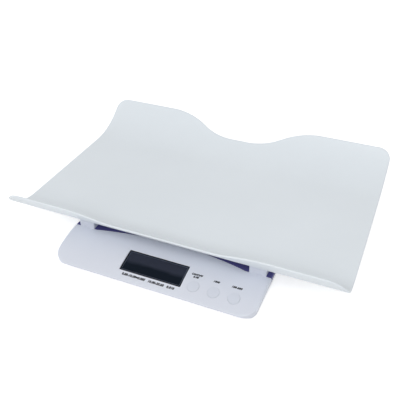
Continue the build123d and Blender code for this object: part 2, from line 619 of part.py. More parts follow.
def cell_lower_bolts():
    """The two bolts from under the base into the fixed end."""
    bolt = pan_screw(CELL_BOLT_DIAMETER, CELL_BOLT_LENGTH, CELL_BOLT_HEAD_DIAMETER, CELL_BOLT_HEAD_HEIGHT)
    return [Pos(-x, CELL_Y, CELL_BOLT_SEAT) * bolt for x in CELL_BOLT_XS]


def cell_upper_bolts():
    """The two flush bolts through the spider into the free end."""
    return [countersunk_bolt(x) for x in CELL_BOLT_XS]


def gauge_covers():
    """Potted covers over the strain gauges, on the beam's two thin walls."""
    length, width, height = GAUGE_COVER
    half = width / 2
    covers = []
    for low in (CELL_TOP, CELL_BOTTOM - height):
        covers.append(block(-length / 2, length / 2, CELL_Y - half, CELL_Y + half, low, low + height))
    return covers


# ---------------------------------------------------------------- control panel, display and keys
def control_panel():
    """White crowned panel with its display recess, key holes, bosses and rear wall."""
    inside = housing_form(WALL)
    below_crown = housing_form(WALL / 2)
    panel = (rounded_form() - inside) & slab(PANEL_PARTING, FAR)
    panel &= panel_zone(0)
    panel += wall_at(inside, -WALL, WALL) & slab(PANEL_PARTING, FAR)
    frame = on_panel(DISPLAY_X, 0, LCD_TOP_W, 0, RectangleRounded(
        DISPLAY_WIDTH + 2 * FRAME_BORDER, DISPLAY_DEPTH + 2 * FRAME_BORDER, FRAME_BORDER))
    panel += frame & below_crown
    for u, v in BOARD_HOLES:
        panel += on_panel(u, v, BOARD_TOP_W, 0, Circle(BOARD_BOSS_DIAMETER / 2)) & below_crown
        panel -= on_panel(u, v, BOARD_TOP_W, BOARD_BOTTOM_W + BOARD_SCREW[1], Circle(BOARD_SCREW[0] / 2))
    for x, y in PANEL_SCREWS:
        panel += cylinder(SCREW_BOSS_DIAMETER, PANEL_PARTING, PLATFORM_TOP, x, y) & below_crown
        panel -= cylinder(SCREW_DIAMETER, PANEL_PARTING, PANEL_SCREW_SEAT + PANEL_SCREW_LENGTH, x, y)
    panel -= on_panel(DISPLAY_X, 0, WINDOW_BOTTOM_W, WALL * 2, RectangleRounded(
        DISPLAY_WIDTH, DISPLAY_DEPTH, DISPLAY_CORNER))
    panel -= on_panel(DISPLAY_X, 0, LCD_TOP_W, 0, Rectangle(*WINDOW_INNER))
    for x in KEY_XS:
        panel -= on_panel(x, -KEY_LEAD, BOARD_TOP_W, WALL * 2, Circle(KEY_DIAMETER / 2 + KEY_CLEARANCE))
    return panel


def panel_screws():
    """The screws from under the base up into the panel."""
    screw = pan_screw(SCREW_DIAMETER, PANEL_SCREW_LENGTH, SCREW_HEAD_DIAMETER, SCREW_HEAD_HEIGHT)
    return [Pos(x, y, PANEL_SCREW_SEAT) * screw for x, y in PANEL_SCREWS]


def display_window():
    """Dark clear window in the recess."""
    return on_panel(DISPLAY_X, 0, WINDOW_BOTTOM_W, -WINDOW_RECESS, RectangleRounded(
        DISPLAY_WIDTH - 2 * WINDOW_CLEARANCE, DISPLAY_DEPTH - 2 * WINDOW_CLEARANCE, DISPLAY_CORNER))


def lcd_module():
    """Liquid crystal cell under the window's ledge."""
    return on_panel(DISPLAY_X, 0, LCD_BOTTOM_W, LCD_TOP_W, Rectangle(*LCD_SIZE))


def contact_strips():
    """The two rubber strips that join the display to the board."""
    reach = LCD_SIZE[1] / 2 - STRIP_INSET
    return [on_panel(DISPLAY_X, side * reach, BOARD_TOP_W, LCD_BOTTOM_W,
                     Rectangle(WINDOW_INNER[0], STRIP_WIDTH)) for side in (-1, 1)]


def circuit_board():
    """Main board, under the display and the keys."""
    board = on_panel(BOARD_X, 0, BOARD_BOTTOM_W, BOARD_TOP_W, Rectangle(*BOARD_SIZE))
    for u, v in BOARD_HOLES:
        board -= on_panel(u, v, BOARD_BOTTOM_W, BOARD_TOP_W, Circle((BOARD_SCREW[0] + SCREW_CLEARANCE) / 2))
    return board


def controller_chip():
    """Processor on the underside of the board."""
    return on_panel(BOARD_X, 0, BOARD_BOTTOM_W - CHIP_HEIGHT, BOARD_BOTTOM_W, Rectangle(CHIP_SIDE, CHIP_SIDE))


def board_screws():
    """The four small screws that hold the board to the panel's bosses."""
    diameter, length, head_diameter, head_height = BOARD_SCREW
    screw = pan_screw(diameter, length, head_diameter, head_height)
    return [PANEL_PLANE * Pos(u, v, BOARD_BOTTOM_W) * screw for u, v in BOARD_HOLES]


def key_cap(x):
    """Round key, flush with the crown, with a retaining flange and a stem."""
    blank = on_panel(x, -KEY_LEAD, KEY_FLANGE_TOP_W, WALL * 2, Circle(KEY_DIAMETER / 2))
    cap = blank & housing_form(-KEY_PROUD)
    cap += on_panel(x, -KEY_LEAD, KEY_BOTTOM_W, KEY_FLANGE_TOP_W, Circle(KEY_DIAMETER / 2 + KEY_FLANGE))
    cap += on_panel(x, -KEY_LEAD, PLUNGER_TOP_W, KEY_BOTTOM_W, Circle(KEY_STEM_DIAMETER / 2))
    return cap


def switch_plunger(x):
    """Moving plunger of the switch under one key."""
    return on_panel(x, -KEY_LEAD, PLUNGER_BOTTOM_W, PLUNGER_TOP_W, Circle(PLUNGER_DIAMETER / 2))


def key_switches():
    """The switch bodies on the board, each with the bore that its plunger slides in."""
    bodies = []
    for x in KEY_XS:
        body = on_panel(x, -KEY_LEAD, BOARD_TOP_W, SWITCH_TOP_W, Rectangle(SWITCH_SIDE, SWITCH_SIDE))
        bodies.append(body - on_panel(x, -KEY_LEAD, BOARD_TOP_W + SWITCH_FLOOR, SWITCH_TOP_W,
                                      Circle(PLUNGER_DIAMETER / 2 + PLUNGER_CLEARANCE)))
    return bodies


# ---------------------------------------------------------------- base shell and battery bay
def base_shell():
    """Bottom housing: tucked walls, ledge and upstand under the lid, bay, bosses and stops."""
    walls = housing_form(0) - housing_form(WALL)
    shell = walls & slab(0, PANEL_PARTING) & panel_zone(0)
    shell += (walls & slab(0, LEDGE_TOP)) - panel_zone(0)
    shell += upstand()
    shell += cell_pad()
    shell += battery_bay()
    shell += floor_ribs()
    inner_floor = FLOOR_TOP - WALL / 2
    for x, y in STOPS:
        shell += cylinder(STOP_DIAMETER, inner_floor, SPIDER_BOTTOM - SINK, x, y)
    for x, y in PANEL_SCREWS:
        shell += cylinder(SCREW_BOSS_DIAMETER, inner_floor, PANEL_PARTING, x, y) & housing_form(WALL / 2)
        shell -= cylinder(SCREW_HEAD_DIAMETER + 2 * SCREW_CLEARANCE, 0, PANEL_SCREW_SEAT, x, y)
        shell -= cylinder(SCREW_DIAMETER + SCREW_CLEARANCE, 0, PANEL_PARTING, x, y)
    for x in CELL_BOLT_XS:
        shell -= cylinder(CELL_BOLT_HEAD_DIAMETER + 2 * SCREW_CLEARANCE, 0, CELL_BOLT_SEAT, -x, CELL_Y)
        shell -= cylinder(CELL_BOLT_DIAMETER + CELL_BOLT_CLEARANCE, 0, FLOOR_TOP + CELL_PAD, -x, CELL_Y)
    for x, y in FEET:
        shell -= cylinder(FOOT_DIAMETER + 2 * FOOT_CLEARANCE, 0, FOOT_HEIGHT + FOOT_RECESS, x, y)
    return shell - battery_mouth()


def upstand():
    """Ledge under the lid's skirt, the wall that stands inside it, and the front bulkhead."""
    inside = housing_form(UPSTAND_INSET + UPSTAND_WALL)
    shelf = (housing_form(WALL / 2) - inside) & slab(LEDGE_TOP - LEDGE_SHEET, LEDGE_TOP)
    ring = (housing_form(UPSTAND_INSET) - inside) & slab(LEDGE_TOP - LEDGE_SHEET, UPSTAND_TOP)
    front = LID_GAP + LID_SHEET + UPSTAND_CLEARANCE
    bulkhead = wall_at(housing_form(UPSTAND_INSET), front, UPSTAND_WALL)
    bulkhead &= slab(FLOOR_TOP - WALL / 2, UPSTAND_TOP)
    notch_half = WIRE_NOTCH[0] / 2
    for x in LEAD_XS:
        bulkhead -= block(x - notch_half, x + notch_half, BOUNDARY_Y, 0, FLOOR_TOP, FLOOR_TOP + WIRE_NOTCH[1])
    return ((shelf + ring) - panel_zone(front)) + bulkhead


def floor_ribs():
    """Low ribs that stiffen the floor on both sides of the load cell."""
    low = FLOOR_TOP - WALL / 2
    high = FLOOR_TOP + FLOOR_RIB_HEIGHT
    half = FLOOR_RIB_WALL / 2
    ribs = []
    for side in (-1, 1):
        x = side * FLOOR_RIB_X
        ribs.append(block(x - half, x + half, BOUNDARY_Y, FAR, low, high))
        for y in (CELL_Y - FLOOR_RIB_PITCH, CELL_Y + FLOOR_RIB_PITCH):
            ribs.append(block(min(x, x + side * FAR), max(x, x + side * FAR), y - half, y + half, low, high))
    front = LID_GAP + LID_SHEET + UPSTAND_CLEARANCE
    room = housing_form(WALL / 2) - panel_zone(front)
    return [rib & room for rib in ribs]


def cell_pad():
    """Thickened pad of the floor under the load cell's fixed end."""
    outer = -CELL_LENGTH / 2 - SPACER_SHEET
    half = CELL_SIDE / 2 + SPACER_SHEET
    return block(outer, outer + SPACER_LENGTH + 2 * SPACER_SHEET, CELL_Y - half, CELL_Y + half,
                 FLOOR_TOP - WALL / 2, FLOOR_TOP + CELL_PAD)


def battery_bay():
    """Walls and roof over the batteries, with a partition that carries the rear contacts."""
    half = BAY_HALF + BAY_WALL
    rear = DOOR_REAR + DOOR_CLEARANCE
    bay = block(-half, half, BAY_FRONT - BAY_WALL, rear + BAY_WALL, FLOOR_TOP - WALL / 2, BAY_ROOF + BAY_WALL)
    bay -= block(-BAY_HALF, BAY_HALF, BAY_FRONT, rear, FLOOR_TOP, BAY_ROOF)
    partition = block(-BAY_HALF, BAY_HALF, BAY_REAR, BAY_REAR + BAY_WALL, FLOOR_TOP, BAY_ROOF)
    return bay + partition


def battery_mouth():
    """Opening in the floor that the battery door closes."""
    return block(-BAY_HALF, BAY_HALF, DOOR_FRONT - DOOR_CLEARANCE, DOOR_REAR + DOOR_CLEARANCE, 0, FLOOR_TOP)


def battery_door():
    """Door in the floor, with two hooks over the front sill and a latch at the back."""
    half = BAY_HALF - DOOR_CLEARANCE
    door = block(-half, half, DOOR_FRONT, DOOR_REAR, FOOT_HEIGHT, DOOR_TOP)
    hook_low = FLOOR_TOP + HOOK_FLOOR_GAP
    for side in (-1, 1):
        x = side * (half - HOOK_WIDTH / 2)
        left = x - HOOK_WIDTH / 2
        right = x + HOOK_WIDTH / 2
        inner = DOOR_FRONT + HOOK_SHEET
        door += block(left, right, DOOR_FRONT, inner, DOOR_TOP - HOOK_SHEET / 2, hook_low + HOOK_SHEET)
        door += block(left, right, DOOR_FRONT - HOOK_REACH, inner, hook_low, hook_low + HOOK_SHEET)
    door += latch_tab()
    grip = Pos(0, DOOR_REAR - DOOR_GRIP_DIAMETER, FOOT_HEIGHT) * Cylinder(DOOR_GRIP_DIAMETER / 2, DOOR_SHEET)
    return door - grip


def latch_tab():
    """Springy tab at the door's rear edge, with a small bump at its top."""
    half = DOOR_LATCH_WIDTH / 2
    rear = DOOR_REAR - DOOR_CLEARANCE
    top = DOOR_TOP + DOOR_LATCH_HEIGHT
    bump_low = FLOOR_TOP + HOOK_FLOOR_GAP
    tab = block(-half, half, rear - DOOR_LATCH_SHEET, rear, DOOR_TOP - DOOR_SHEET / 2, top)
    return tab + block(-half, half, rear - DOOR_LATCH_SHEET, DOOR_REAR, bump_low, bump_low + DOOR_LATCH_SHEET)


def battery_way(index):
    """Way that the nub of one battery points along Y: they lie head to tail."""
    return 1 if index % 2 else -1


def batteries():
    """The AAA cells, each between its spring and its plate."""
    can_length = BATTERY_LENGTH - BATTERY_NUB_HEIGHT
    nub = cylinder(BATTERY_NUB_DIAMETER, can_length / 2, can_length / 2 + BATTERY_NUB_HEIGHT)
    cell = Cylinder(BATTERY_DIAMETER / 2, can_length) + nub
    cells = []
    for index, x in enumerate(BATTERY_XS):
        way = battery_way(index)
        before = CONTACT_SPRING if way > 0 else BATTERY_NUB_HEIGHT
        middle = BAY_FRONT + CONTACT_SHEET + before + can_length / 2
        cells.append(Pos(x, middle, BATTERY_Z) * (Rot(-90 * way, 0, 0) * cell))
    return cells


def contact_plate(x, face_y, into):
    """Flat contact against one end wall of the bay."""
    half = CONTACT_WIDTH / 2
    return block(x - half, x + half, min(face_y, face_y + into * CONTACT_SHEET),
                 max(face_y, face_y + into * CONTACT_SHEET), BATTERY_Z - half, BATTERY_Z + half)


def battery_contacts():
    """Flat plates for the nubs and bowed leaf springs for the cans' flat ends."""
    plates = []
    springs = []
    for index, x in enumerate(BATTERY_XS):
        way = battery_way(index)
        nub_wall = BAY_REAR if way > 0 else BAY_FRONT
        flat_wall = BAY_FRONT if way > 0 else BAY_REAR
        plates.append(contact_plate(x, nub_wall, -way))
        spring = leaf_spring(x, flat_wall + way * CONTACT_SHEET, way)
        springs.append(contact_plate(x, flat_wall, way) + spring)
    return plates, springs


def leaf_spring(x, face_y, into):
    """Bowed strip that touches the can's flat end at its crest."""
    half = CONTACT_WIDTH / 2
    crest = CONTACT_SPRING
    radius = (half ** 2 + crest ** 2) / (2 * crest)
    bow = Cylinder(radius, CONTACT_WIDTH / 2) - Cylinder(radius - CONTACT_SHEET, CONTACT_WIDTH / 2)
    bow = Pos(x, face_y + into * (crest - radius), BATTERY_Z) * (Rot(0, 90, 0) * bow)
    low = min(face_y, face_y + into * CONTACT_SPRING)
    return bow & block(x - half, x + half, low, low + CONTACT_SPRING, BATTERY_Z - half, BATTERY_Z + half)


# ---------------------------------------------------------------- leads inside the base
def lead(name, points):
    """Round lead along straight runs, joined by the largest arcs that the runs allow."""
    radii = []
    for before, corner, after in zip(points, points[1:], points[2:]):
        run_in = Vector(*corner) - Vector(*before)
        run_out = Vector(*after) - Vector(*corner)
        turn = math.radians(run_in.get_angle(run_out))
        radii.append(LEAD_ARC_SHARE * min(run_in.length, run_out.length) / math.tan(turn / 2))
    path = FilletPolyline(*points, radius=radii)
    print(name, "length", round(path.length, 1), "arc radii", [round(radius, 1) for radius in radii])
    start = Plane(origin=path @ 0, z_dir=path % 0)
    return sweep(start * Circle(LEAD_DIAMETER / 2), path=path)


def socket_end(x):
    """Last two points of a lead: under the board's rear edge and at the socket's rear face."""
    depth = BOARD_BOTTOM_W - LEAD_SOCKET[2] / 2
    face = LEAD_SOCKET_V + LEAD_SOCKET[1] / 2
    return [tuple(PANEL_PLANE.from_local_coords((x, v, depth))) for v in (face + LEAD_TAIL, face)]


def cell_lead():
    """Lead of the strain gauges, from the beam's fixed end to the board."""
    x = LEAD_XS[0]
    side = CELL_Y - CELL_SIDE / 2
    start = -(CELL_BOLT_XS[0] + CELL_BOLT_XS[1]) / 2
    height = (CELL_BOTTOM + CELL_TOP) / 2
    return lead("cell_lead", [
        (start, side, height), (start, side - 11.4, height), (start - 2.5, side - 28.4, LEAD_Z),
        (x + 4, BOUNDARY_Y + 68, LEAD_Z), (x, BOUNDARY_Y + 32, LEAD_Z), (x, BOUNDARY_Y + 2, LEAD_Z),
        *socket_end(x)])


def battery_lead():
    """Lead from the front wall of the battery bay, round the free end of the load cell, to the board."""
    x = LEAD_XS[1]
    wall = BAY_FRONT - BAY_WALL
    cell_end = CELL_LENGTH / 2
    return lead("battery_lead", [
        (BAY_HALF, wall, BATTERY_Z), (BAY_HALF, wall - 10.5, BATTERY_Z), (cell_end - 2, wall - 26.5, LEAD_Z),
        (cell_end + 10, wall - 54.5, LEAD_Z), (cell_end + 10, wall - 84.5, LEAD_Z),
        (x + 3, BOUNDARY_Y + 62, LEAD_Z), (x, BOUNDARY_Y + 32, LEAD_Z), (x, BOUNDARY_Y + 2, LEAD_Z),
        *socket_end(x)])


def lead_sockets():
    """The two sockets under the board that the leads end in."""
    width, depth, height = LEAD_SOCKET
    return [on_panel(x, LEAD_SOCKET_V, BOARD_BOTTOM_W - height, BOARD_BOTTOM_W, Rectangle(width, depth))
            for x in LEAD_XS]


def rubber_feet():
    """Four rubber feet, stuck in their recesses under the base."""
    feet = []
    for x, y in FEET:
        foot = cylinder(FOOT_DIAMETER, 0, FOOT_HEIGHT + FOOT_RECESS, x, y)
        feet.append(chamfer(foot.edges().group_by(Axis.Z)[0], FOOT_EDGE_BREAK))
    return feet


# ---------------------------------------------------------------- assembly
def build():
    """Every node of the assembly, by name."""
    plates, springs = battery_contacts()
    nodes = {
        "base_shell": base_shell(),
        "control_panel": control_panel(),
        "panel_screws": panel_screws(),
        "display_window": display_window(),
        "lcd_module": lcd_module(),
        "contact_strips": contact_strips(),
        "circuit_board": circuit_board(),
        "controller_chip": controller_chip(),
        "board_screws": board_screws(),
        "key_switches": key_switches(),
        "rubber_feet": rubber_feet(),
        "battery_door": battery_door(),
        "batteries": batteries(),
        "battery_plates": plates,
        "battery_springs": springs,
        "cell_lead": cell_lead(),
        "battery_lead": battery_lead(),
        "lead_sockets": lead_sockets(),
        "load_cell": load_cell(),
        "gauge_covers": gauge_covers(),
        "cell_lower_spacer": cell_spacer(-1, FLOOR_TOP + CELL_PAD),
        "cell_upper_spacer": cell_spacer(1, CELL_TOP),
        "cell_lower_bolts": cell_lower_bolts(),
        "cell_upper_bolts": cell_upper_bolts(),
        "platform_spider": platform_spider(),
        "platform_lid": platform_lid(),
        "lid_screws": lid_screws(),
        "tray_shell": tray_shell(),
        "tray_runner_left": tray_runner(-1),
        "tray_runner_right": tray_runner(1),
        "tray_screws": tray_screws(),
    }
    for name, x in zip(KEY_NAMES, KEY_XS):
        nodes[name + "_key"] = key_cap(x)
        nodes[name + "_plunger"] = switch_plunger(x)
    return nodes


os.makedirs("parts", exist_ok=True)
for node, shape in build().items():
    solid = Compound(shape) if isinstance(shape, list) else shape
    export_step(solid, "parts/" + node + ".step")
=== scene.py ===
import json
import math

import bmesh
import bpy
from mathutils import Matrix, Vector


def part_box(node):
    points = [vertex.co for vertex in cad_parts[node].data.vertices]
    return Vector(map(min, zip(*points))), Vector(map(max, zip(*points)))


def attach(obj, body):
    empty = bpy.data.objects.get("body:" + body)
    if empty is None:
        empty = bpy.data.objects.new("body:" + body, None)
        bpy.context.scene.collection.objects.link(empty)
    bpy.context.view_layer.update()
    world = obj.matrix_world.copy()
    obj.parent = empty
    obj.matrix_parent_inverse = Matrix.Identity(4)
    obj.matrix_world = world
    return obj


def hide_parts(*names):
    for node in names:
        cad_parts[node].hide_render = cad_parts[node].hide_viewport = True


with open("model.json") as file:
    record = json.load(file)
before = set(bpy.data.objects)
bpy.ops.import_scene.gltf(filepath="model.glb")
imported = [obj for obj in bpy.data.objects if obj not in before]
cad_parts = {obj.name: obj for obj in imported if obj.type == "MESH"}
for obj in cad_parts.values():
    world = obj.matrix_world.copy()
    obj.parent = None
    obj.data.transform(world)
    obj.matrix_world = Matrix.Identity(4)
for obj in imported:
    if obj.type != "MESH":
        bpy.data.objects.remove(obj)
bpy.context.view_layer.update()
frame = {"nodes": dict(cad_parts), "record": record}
nodes = frame["nodes"]

# ---------------------------------------------------------------- named values, metres and degrees
CAMERA_PLACE = (0.3104, -0.7302, 0.5889)
CAMERA_AZIMUTH = 23.38
CAMERA_ELEVATION = 35.19
CAMERA_ROLL = -0.34
CAMERA_LENS_MM = 51.6
CAMERA_SENSOR_MM = 36.0
CAMERA_REACH = 50.0

FLOOR_SIZE = 8.0
FLOOR_GLOW = 0.55
FILL_LIGHT = 0.56
# Lamps: name, place, edge length and power in watts. All of them look at the origin.
LAMPS = (
    ("front_light", (0.5, -1.8, 1.8), 1.8, 25.0),
    ("side_light", (-2.2, -1.0, 0.7), 1.6, 11.0),
    ("rear_light", (0.0, 1.8, 1.6), 1.8, 4.0),
)

# Cradle sheet, from the floor's edges outwards.
TRAY_SHEET = 0.003
TRAY_RISE = 0.006
TRAY_FLOOR_SETBACK = 0.0403
LIP_RADIUS = 0.0755
LIP_ANGLE = 68.0
LIP_CORNER_RADIUS = 0.033
LIP_DIP = (0.330, 0.140, 0.019, 0.090)  # full width, flat width, depth, valley radius
BACK_RADIUS = 0.1243
BACK_ANGLE = 51.4
BACK_CORNER_RADIUS = 0.022
BACK_DIP = (0.300, 0.030, 0.039, 0.115)
TRAY_FLOOR_DEPTH = 0.2058
RIM_STEPS = 8
RIM_GUARD = 0.0006
EDGE_STEP = 0.006
CORNER_STEPS = 10
BEND_STEP = 4.0
CROSS_CUTS = 0.053
MERGE_DISTANCE = 0.00005

# Crowned panel, its print and its display.
CROWN_RADIUS = 0.180
DISPLAY_TILT = 12.775
DISPLAY_SIZE = (0.0991, 0.0377)
DISPLAY_LINE_INSET = 0.0017
DISPLAY_LINE_WIDTH = 0.0010
DISPLAY_SHEET = 0.0014
INK_THICKNESS = 0.00004
INK_CURVE_STEPS = 4
INK_SPREAD = 0.07
INK_SPACING = 1.12
INK_SLANT = 0.25
KEY_LABELS = {
    "tare_key": ("ON/OFF", "0.00"),
    "unit_key": ("1000",),
    "hold_key": ("100-200",),
}
KEY_LABEL_SIZE = 0.0042
KEY_LABEL_PITCH = 0.0043
KEY_LABEL_RISE = 0.0164
KEY_LABEL_SHIFT = -0.0020
RANGE_TEXT = "0.00-10.00=0.005   10.00-20.00   0.010"
RANGE_SIZE = 0.0047
RANGE_DROP = 0.0238

# Colours as they should look on screen, 0 to 1.
TRAY_WHITE = (0.885, 0.910, 0.930)
RUNNER_WHITE = (0.826, 0.845, 0.888)
PANEL_WHITE = (0.845, 0.860, 0.900)
KEY_WHITE = (0.826, 0.844, 0.886)
LID_VIOLET = (0.303, 0.298, 0.520)
DOOR_WHITE = (0.840, 0.860, 0.900)
INK_BLACK = (0.030, 0.032, 0.050)
FLOOR_WHITE = (0.930, 0.930, 0.930)
# The window's lighter colour is a painted reflection, laid on its rear part.
WINDOW_PAINTED_REFLECTION = (0.190, 0.206, 0.256)
WINDOW_DARK = (0.082, 0.109, 0.147)
WINDOW_BORDER = (0.045, 0.055, 0.085)
WINDOW_LINE = (0.330, 0.365, 0.430)
SLEEVE_LOW = (0.20, 0.25, 0.33)
SLEEVE_HIGH = (0.62, 0.52, 0.30)
SLEEVE_CAP = (0.78, 0.78, 0.77)

# Noise scales per metre, bump depths in metres, and shares of gloss and colour.
COLOUR_DRIFT_SCALE = 9.0
GLOSS_DRIFT_SCALE = 60.0
GRAIN_SCALE = 900.0
GRAIN_DEPTH = 0.00002
GRAIN_STRENGTH = 0.35
PLASTIC_SPECULAR = 0.4
INK_SPECULAR = 0.05
RUBBER_GRAIN_SCALE = 1500.0
RUBBER_GRAIN_DEPTH = 0.00004
METAL_DRIFT_SCALE = 120.0
METAL_GRAIN_SCALE = 1400.0
METAL_GLOSS_SPREAD = 0.08
METAL_MOTTLE = 0.06
# The window's wave and edge values shape the painted reflection on its rear part.
WINDOW_WAVE_SCALE = 30.0
WINDOW_WAVE = 0.004
WINDOW_REFLECTION_EDGE = -0.001
WINDOW_REFLECTION_SOFTNESS = 0.003
WINDOW_BORDER_SOFTNESS = 0.00015
WINDOW_GLOSS_SCALE = 240.0
WINDOW_GLOSS = (0.16, 0.24)
WINDOW_SPECULAR = 0.02
SLEEVE_BAND_START = 0.014
SLEEVE_BAND_SOFTNESS = 0.0002
SLEEVE_CAP_FACING = 0.9
SLEEVE_CAP_SOFTNESS = 0.02
SLEEVE_GLOSS_SCALE = 200.0
SLEEVE_GLOSS = (0.22, 0.34)
STAGE_DRIFT_SCALE = 2.0
STAGE_MOTTLE = 0.01
STAGE_ROUGHNESS = 0.9


def linear(colour):
    """Scene-linear value of a colour given as it looks on screen."""
    steps = (c / 12.92 if c <= 0.04045 else ((c + 0.055) / 1.055) ** 2.4 for c in colour)
    return tuple(steps) + (1.0,)


# ---------------------------------------------------------------- material helpers
def new_material(name):
    """Empty node material, its node tree and its Principled shader."""
    material = bpy.data.materials.new(name)
    material.use_nodes = True
    tree = material.node_tree
    return material, tree, tree.nodes["Principled BSDF"]


def add(tree, kind, **values):
    """Adds a node and sets its properties and input sockets by name."""
    node = tree.nodes.new(kind)
    for key, value in values.items():
        if hasattr(node, key):
            setattr(node, key, value)
        else:
            node.inputs[key.replace("_", " ")].default_value = value
    return node


def noise(tree, scale, detail=3.0):
    """Noise texture in the object's own coordinates."""
    place = add(tree, "ShaderNodeTexCoord")
    texture = add(tree, "ShaderNodeTexNoise", Scale=scale, Detail=detail)
    tree.links.new(place.outputs["Object"], texture.inputs["Vector"])
    return texture


def ranged(tree, source, low, high):
    """Maps a 0 to 1 output to a range."""
    node = add(tree, "ShaderNodeMapRange")
    node.inputs["To Min"].default_value = low
    node.inputs["To Max"].default_value = high
    tree.links.new(source, node.inputs["Value"])
    return node.outputs["Result"]


def step_over(tree, source, edge, softness):
    """0 under an edge and 1 over it, with a soft passage."""
    node = add(tree, "ShaderNodeMapRange")
    node.inputs["From Min"].default_value = edge - softness
    node.inputs["From Max"].default_value = edge + softness
    tree.links.new(source, node.inputs["Value"])
    return node.outputs["Result"]


def maths(tree, operation, first, second=None):
    """One arithmetic node; an operand is a socket or a number."""
    node = add(tree, "ShaderNodeMath", operation=operation)
    for socket, value in zip(node.inputs, (first, second)):
        if isinstance(value, (int, float)):
            socket.default_value = value
        elif value is not None:
            tree.links.new(value, socket)
    return node.outputs[0]


def mixed_colour(tree, factor, low, high):
    """Blend of two colours, each a value or a socket, by a factor."""
    node = add(tree, "ShaderNodeMix", data_type="RGBA")
    colours = [socket for socket in node.inputs if socket.type == "RGBA"]
    for socket, value in zip(colours, (low, high)):
        if isinstance(value, tuple):
            socket.default_value = value
        else:
            tree.links.new(value, socket)
    tree.links.new(factor, node.inputs["Factor"])
    return [socket for socket in node.outputs if socket.type == "RGBA"][0]


def shaded(colour, share):
    """A colour made lighter or darker by a share."""
    return tuple(max(0.0, min(1.0, c * (1 + share))) for c in colour)


def moulded(name, colour, roughness, mottle=0.012, spread=0.05, grain=GRAIN_SCALE, depth=GRAIN_DEPTH,
            specular=PLASTIC_SPECULAR):
    """Moulded plastic: slight colour drift, uneven gloss and a fine spark-eroded grain."""
    material, tree, shader = new_material(name)
    drift = noise(tree, COLOUR_DRIFT_SCALE)
    low, high = linear(shaded(colour, -mottle)), linear(shaded(colour, mottle))
    tree.links.new(mixed_colour(tree, drift.outputs["Fac"], low, high), shader.inputs["Base Color"])
    gloss = noise(tree, GLOSS_DRIFT_SCALE)
    tree.links.new(ranged(tree, gloss.outputs["Fac"], roughness - spread, roughness + spread),
                   shader.inputs["Roughness"])
    fine = noise(tree, grain, detail=2.0)
    bump = add(tree, "ShaderNodeBump", Strength=GRAIN_STRENGTH, Distance=depth)
    tree.links.new(fine.outputs["Fac"], bump.inputs["Height"])
    tree.links.new(bump.outputs["Normal"], shader.inputs["Normal"])
    shader.inputs["Specular IOR Level"].default_value = specular
    return material


def metal(name, colour, roughness):
    """Plated or milled metal with a fine uneven sheen."""
    material, tree, shader = new_material(name)
    shader.inputs["Metallic"].default_value = 1.0
    drift = noise(tree, METAL_DRIFT_SCALE)
    low, high = linear(shaded(colour, -METAL_MOTTLE)), linear(colour)
    tree.links.new(mixed_colour(tree, drift.outputs["Fac"], low, high), shader.inputs["Base Color"])
    gloss = noise(tree, METAL_GRAIN_SCALE)
    tree.links.new(ranged(tree, gloss.outputs["Fac"], roughness - METAL_GLOSS_SPREAD,
                          roughness + METAL_GLOSS_SPREAD), shader.inputs["Roughness"])
    return material


def rubber(name, colour):
    """Matt soft rubber with a dusty drift."""
    return moulded(name, colour, 0.75, mottle=0.08, spread=0.08,
                   grain=RUBBER_GRAIN_SCALE, depth=RUBBER_GRAIN_DEPTH)


def smoked_window():
    """Smoked window with a black printed border; its rear part is painted lighter past a wavy edge, as a
    painted reflection.
    """
    material, tree, shader = new_material("smoked_window")
    low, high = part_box("display_window")
    place = add(tree, "ShaderNodeTexCoord")
    parts = add(tree, "ShaderNodeSeparateXYZ")
    tree.links.new(place.outputs["Object"], parts.inputs[0])
    middle = (low + high) / 2
    across = maths(tree, "ABSOLUTE", maths(tree, "SUBTRACT", parts.outputs["X"], middle.x))
    along = maths(tree, "DIVIDE", maths(tree, "SUBTRACT", parts.outputs["Y"], middle.y),
                  math.cos(math.radians(DISPLAY_TILT)))
    # Painted reflection: past a wavy edge, the window's rear part gets the lighter colour.
    wave = noise(tree, WINDOW_WAVE_SCALE, detail=1.0)
    sheen = maths(tree, "ADD", along, ranged(tree, wave.outputs["Fac"], -WINDOW_WAVE, WINDOW_WAVE))
    painted_reflection = step_over(tree, sheen, WINDOW_REFLECTION_EDGE, WINDOW_REFLECTION_SOFTNESS)
    face = mixed_colour(tree, painted_reflection, linear(WINDOW_DARK), linear(WINDOW_PAINTED_REFLECTION))
    half_width, half_depth = (size / 2 - DISPLAY_LINE_INSET for size in DISPLAY_SIZE)
    outside = maths(tree, "MAXIMUM", step_over(tree, across, half_width, WINDOW_BORDER_SOFTNESS),
                    step_over(tree, maths(tree, "ABSOLUTE", along), half_depth, WINDOW_BORDER_SOFTNESS))
    tree.links.new(mixed_colour(tree, outside, face, linear(WINDOW_BORDER)), shader.inputs["Base Color"])
    gloss = noise(tree, WINDOW_GLOSS_SCALE)
    tree.links.new(ranged(tree, gloss.outputs["Fac"], *WINDOW_GLOSS), shader.inputs["Roughness"])
    shader.inputs["Specular IOR Level"].default_value = WINDOW_SPECULAR
    return material


